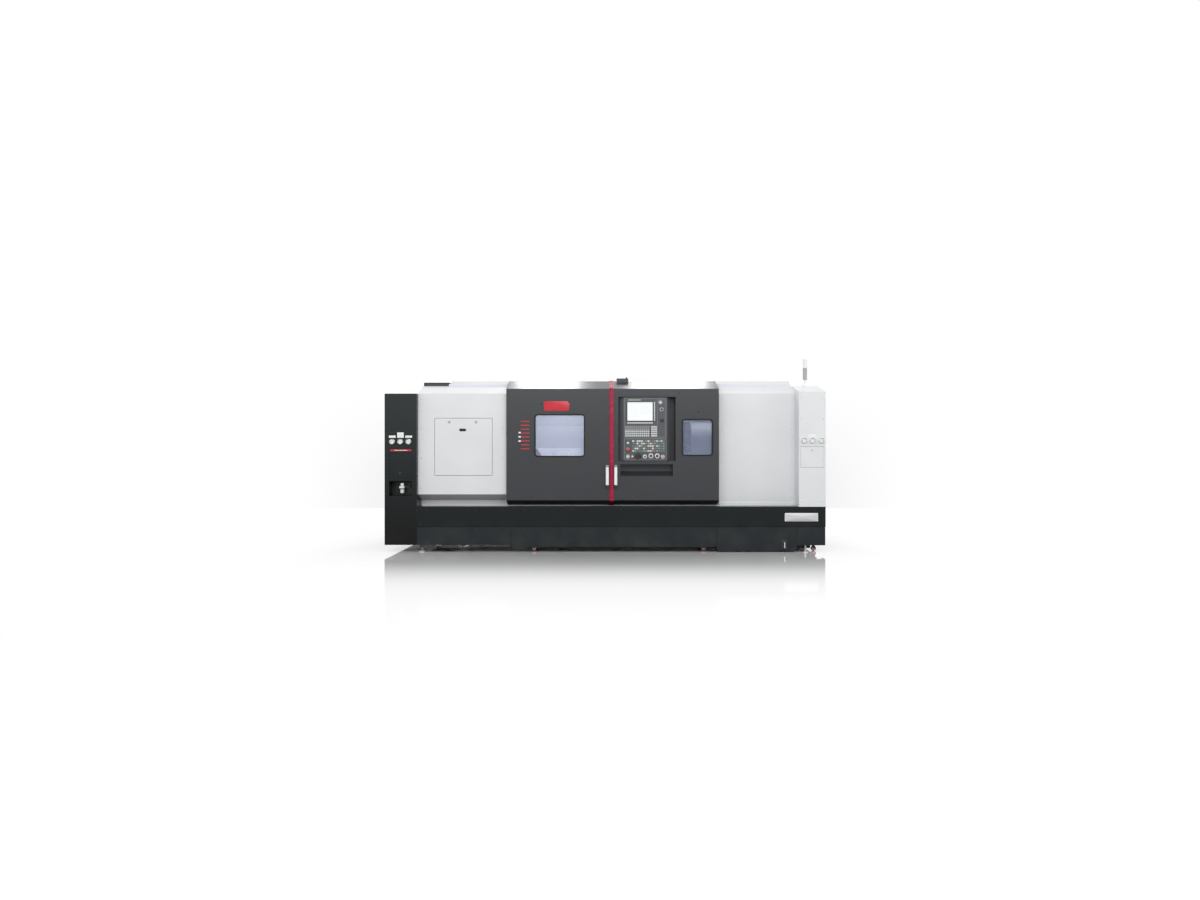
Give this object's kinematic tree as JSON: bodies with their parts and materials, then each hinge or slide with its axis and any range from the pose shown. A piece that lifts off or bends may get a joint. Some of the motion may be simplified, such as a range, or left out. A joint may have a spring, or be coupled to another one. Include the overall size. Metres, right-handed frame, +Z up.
{
  "type": "cnc turning lathe",
  "caption": "Long-bed turning lathe with sliding doors, a slant bed, a chuck, an indexing turret, a tailstock and an operator panel that swings out.",
  "frame": {"origin": "on the floor under the middle of the machine's outer box", "axes": "+X to the operator's right along the bed, +Y to the back, +Z up"},
  "size_m": [5.16, 2.26, 2.3],
  "materials": {
    "painted_dark": "fine textured charcoal enamel",
    "painted_white": "smooth light grey enamel",
    "painted_grey": "smooth grey enamel",
    "red_trim": "glossy crimson enamel",
    "casting": "painted and scraped cast iron",
    "steel": "ground steel",
    "bright": "bright plated steel",
    "glass": "laminated safety glass",
    "screen_glass": "display glass",
    "black_plastic": "fine matt",
    "key_plastic": "printed keys, plain",
    "white_plastic": "smooth",
    "red_plastic": "smooth"
  },
  "bodies": {
    "frame": {"bed": "casting", "base_skirt": "painted_dark", "leveling_feet": "steel", "left_cover": "painted_white", "right_cover": "painted_white", "left_tower": "painted_dark", "right_column": "painted_white", "air_fittings": "bright", "signal_lamp": "white_plastic", "chamber_walls": "painted_grey", "headstock": "casting", "rear_cabinet": "painted_white"},
    "left_door": {"left_door": "painted_dark", "left_window": "glass", "left_trim": "red_trim", "left_handle": "bright"},
    "right_door": {"right_door": "painted_dark", "right_window": "glass", "right_trim": "red_trim", "right_handle": "bright"},
    "operator_panel": {"panel_housing": "painted_dark", "panel_screen": "screen_glass", "panel_keys": "key_plastic"},
    "spindle": {"spindle": "steel"},
    "carriage": {"carriage": "casting"},
    "cross_slide": {"cross_slide": "painted_grey"},
    "turret": {"turret": "steel"},
    "tailstock": {"tailstock": "painted_grey"},
    "quill": {"quill": "bright"},
    "coolant_tank": {"coolant_tank": "painted_dark"},
    "service_panel": {"service_panel": "painted_white"},
    "panel_latch_1": {"panel_latch_1": "bright"},
    "panel_latch_2": {"panel_latch_2": "bright"},
    "tower_door": {"tower_door": "painted_dark"},
    "tower_lock": {"tower_lock": "bright"},
    "column_door": {"column_door": "painted_white"},
    "column_lock": {"column_lock": "bright"},
    "regulator_knob": {"regulator_knob": "white_plastic"},
    "way_cover_left": {"way_cover_left": "steel"},
    "way_cover_right": {"way_cover_right": "steel"},
    "chuck_jaw_1": {"chuck_jaw_1": "steel"},
    "chuck_jaw_2": {"chuck_jaw_2": "steel"},
    "chuck_jaw_3": {"chuck_jaw_3": "steel"},
    "cabinet_door": {"cabinet_door": "painted_white"},
    "main_switch": {"main_switch": "red_plastic"},
    "tank_wheels_1": {"tank_wheels_1": "red_plastic"},
    "tank_wheels_2": {"tank_wheels_2": "red_plastic"},
    "tank_wheels_3": {"tank_wheels_3": "red_plastic"},
    "start_button": {"start_button": "white_plastic"},
    "hold_button": {"hold_button": "white_plastic"},
    "alarm_button": {"alarm_button": "white_plastic"},
    "power_on_button": {"power_on_button": "white_plastic"},
    "power_off_button": {"power_off_button": "black_plastic"},
    "estop_button": {"estop_button": "red_plastic"},
    "mode_knob": {"mode_knob": "black_plastic"},
    "feed_knob": {"feed_knob": "black_plastic"},
    "speed_knob": {"speed_knob": "black_plastic"},
    "key_switch": {"key_switch": "bright"},
    "handwheel": {"handwheel": "black_plastic"},
    "card_flap": {"card_flap": "black_plastic"}
  },
  "joints": [
    {"name": "left_door_slide", "type": "slide", "parent": "frame", "child": "left_door", "axis": [1, 0, 0], "range_m": [-1, 0]},
    {"name": "right_door_slide", "type": "slide", "parent": "frame", "child": "right_door", "axis": [1, 0, 0], "range_m": [0, 0.9]},
    {"name": "panel_swivel", "type": "hinge", "parent": "right_door", "child": "operator_panel", "pos_m": [0.168, -1.02, 1.44], "axis": [0, 0, -1], "range_deg": [0, 75]},
    {"name": "start_button_press", "type": "slide", "parent": "operator_panel", "child": "start_button", "axis": [0, 1, 0], "range_m": [0, 0.004], "stiffness_N_per_m": 400},
    {"name": "hold_button_press", "type": "slide", "parent": "operator_panel", "child": "hold_button", "axis": [0, 1, 0], "range_m": [0, 0.004], "stiffness_N_per_m": 400},
    {"name": "alarm_button_press", "type": "slide", "parent": "operator_panel", "child": "alarm_button", "axis": [0, 1, 0], "range_m": [0, 0.004], "stiffness_N_per_m": 400},
    {"name": "power_on_button_press", "type": "slide", "parent": "operator_panel", "child": "power_on_button", "axis": [0, 1, 0], "range_m": [0, 0.004], "stiffness_N_per_m": 400},
    {"name": "power_off_button_press", "type": "slide", "parent": "operator_panel", "child": "power_off_button", "axis": [0, 1, 0], "range_m": [0, 0.004], "stiffness_N_per_m": 400},
    {"name": "estop_press", "type": "slide", "parent": "operator_panel", "child": "estop_button", "axis": [0, 1, 0], "range_m": [0, 0.004], "stiffness_N_per_m": 800},
    {"name": "mode_knob_turn", "type": "hinge", "parent": "operator_panel", "child": "mode_knob", "pos_m": [0.466, -1.052, 1.12], "axis": [0, -1, 0], "range_deg": [-130, 130]},
    {"name": "feed_knob_turn", "type": "hinge", "parent": "operator_panel", "child": "feed_knob", "pos_m": [0.536, -1.052, 1.128], "axis": [0, -1, 0], "range_deg": [-130, 130]},
    {"name": "speed_knob_turn", "type": "hinge", "parent": "operator_panel", "child": "speed_knob", "pos_m": [0.61, -1.052, 1.128], "axis": [0, -1, 0], "range_deg": [-130, 130]},
    {"name": "key_turn", "type": "hinge", "parent": "operator_panel", "child": "key_switch", "pos_m": [0.319, -1.052, 1.12], "axis": [0, -1, 0], "range_deg": [0, 90]},
    {"name": "handwheel_turn", "type": "hinge", "parent": "operator_panel", "child": "handwheel", "pos_m": [0.389, -1.052, 1.124], "axis": [0, -1, 0], "continuous": true},
    {"name": "card_flap_lift", "type": "hinge", "parent": "operator_panel", "child": "card_flap", "pos_m": [0.666, -1.0555, 1.556], "axis": [-1, 0, 0], "range_deg": [0, 100]},
    {"name": "spindle_turn", "type": "hinge", "parent": "frame", "child": "spindle", "pos_m": [-1.01, -0.48, 1.06], "axis": [1, 0, 0], "continuous": true},
    {"name": "jaw_1_slide", "type": "slide", "parent": "spindle", "child": "chuck_jaw_1", "axis": [0, 0, 1], "range_m": [0, 0.005]},
    {"name": "jaw_2_slide", "type": "slide", "parent": "spindle", "child": "chuck_jaw_2", "axis": [0, -0.866, -0.5], "range_m": [0, 0.005]},
    {"name": "jaw_3_slide", "type": "slide", "parent": "spindle", "child": "chuck_jaw_3", "axis": [0, 0.866, -0.5], "range_m": [0, 0.005]},
    {"name": "carriage_slide", "type": "slide", "parent": "frame", "child": "carriage", "axis": [1, 0, 0], "range_m": [-1.25, 0]},
    {"name": "cross_slide_feed", "type": "slide", "parent": "carriage", "child": "cross_slide", "axis": [0, -0.7071, -0.7071], "range_m": [0, 0.25]},
    {"name": "turret_index", "type": "hinge", "parent": "cross_slide", "child": "turret", "pos_m": [1.09, -0.14766, 1.39234], "axis": [1, 0, 0], "continuous": true},
    {"name": "way_cover_left_slide", "type": "slide", "parent": "frame", "child": "way_cover_left", "axis": [1, 0, 0], "range_m": [-0.625, 0]},
    {"name": "way_cover_right_slide", "type": "slide", "parent": "frame", "child": "way_cover_right", "axis": [1, 0, 0], "range_m": [-0.625, 0]},
    {"name": "tailstock_slide", "type": "slide", "parent": "frame", "child": "tailstock", "axis": [1, 0, 0], "range_m": [-0.9, 0]},
    {"name": "quill_slide", "type": "slide", "parent": "tailstock", "child": "quill", "axis": [1, 0, 0], "range_m": [-0.15, 0]},
    {"name": "tank_pull_out", "type": "slide", "parent": "frame", "child": "coolant_tank", "axis": [1, 0, 0], "range_m": [0, 1.2]},
    {"name": "tank_wheels_1_roll", "type": "hinge", "parent": "coolant_tank", "child": "tank_wheels_1", "pos_m": [-0.841, -0.95, 0.03], "axis": [0, 1, 0], "range_deg": [0, 2300]},
    {"name": "tank_wheels_2_roll", "type": "hinge", "parent": "coolant_tank", "child": "tank_wheels_2", "pos_m": [1.172, -0.95, 0.03], "axis": [0, 1, 0], "range_deg": [0, 2300]},
    {"name": "tank_wheels_3_roll", "type": "hinge", "parent": "coolant_tank", "child": "tank_wheels_3", "pos_m": [2.474, -0.95, 0.03], "axis": [0, 1, 0], "range_deg": [0, 2300]},
    {"name": "service_panel_tilt", "type": "hinge", "parent": "frame", "child": "service_panel", "pos_m": [-1.6775, -0.988, 0.905], "axis": [1, 0, 0], "range_deg": [0, 75]},
    {"name": "panel_latch_1_turn", "type": "hinge", "parent": "service_panel", "child": "panel_latch_1", "pos_m": [-1.837, -0.995, 1.524], "axis": [0, -1, 0], "range_deg": [0, 90]},
    {"name": "panel_latch_2_turn", "type": "hinge", "parent": "service_panel", "child": "panel_latch_2", "pos_m": [-1.521, -0.995, 1.524], "axis": [0, -1, 0], "range_deg": [0, 90]},
    {"name": "tower_door_swing", "type": "hinge", "parent": "frame", "child": "tower_door", "pos_m": [-2.517, -1.056, 1.0145], "axis": [0, 0, -1], "range_deg": [0, 100]},
    {"name": "tower_lock_turn", "type": "hinge", "parent": "tower_door", "child": "tower_lock", "pos_m": [-2.4, -1.06, 0.927], "axis": [0, -1, 0], "range_deg": [0, 90]},
    {"name": "column_door_swing", "type": "hinge", "parent": "frame", "child": "column_door", "pos_m": [2.292, -1.056, 1.114], "axis": [0, 0, -1], "range_deg": [0, 100]},
    {"name": "column_lock_turn", "type": "hinge", "parent": "column_door", "child": "column_lock", "pos_m": [2.424, -1.06, 1.196], "axis": [0, -1, 0], "range_deg": [0, 90]},
    {"name": "regulator_turn", "type": "hinge", "parent": "frame", "child": "regulator_knob", "pos_m": [-2.388, -1, 0.772], "axis": [0, 0, 1], "range_deg": [-170, 170]},
    {"name": "cabinet_door_swing", "type": "hinge", "parent": "frame", "child": "cabinet_door", "pos_m": [-0.794, 1.086, 1.1], "axis": [0, 0, 1], "range_deg": [0, 110]},
    {"name": "main_switch_turn", "type": "hinge", "parent": "frame", "child": "main_switch", "pos_m": [0.32, 1.09, 1.5], "axis": [0, 1, 0], "range_deg": [0, 90]}
  ],
  "couplings": [
    {"joint": "jaw_2_slide", "follows": "jaw_1_slide", "ratio": 1},
    {"joint": "jaw_3_slide", "follows": "jaw_1_slide", "ratio": 1},
    {"joint": "way_cover_left_slide", "follows": "carriage_slide", "ratio": 0.5},
    {"joint": "way_cover_right_slide", "follows": "carriage_slide", "ratio": 0.5},
    {"joint": "tank_wheels_1_roll", "follows": "tank_pull_out", "rad_per_m": 33.333},
    {"joint": "tank_wheels_2_roll", "follows": "tank_pull_out", "rad_per_m": 33.333},
    {"joint": "tank_wheels_3_roll", "follows": "tank_pull_out", "rad_per_m": 33.333}
  ]
}
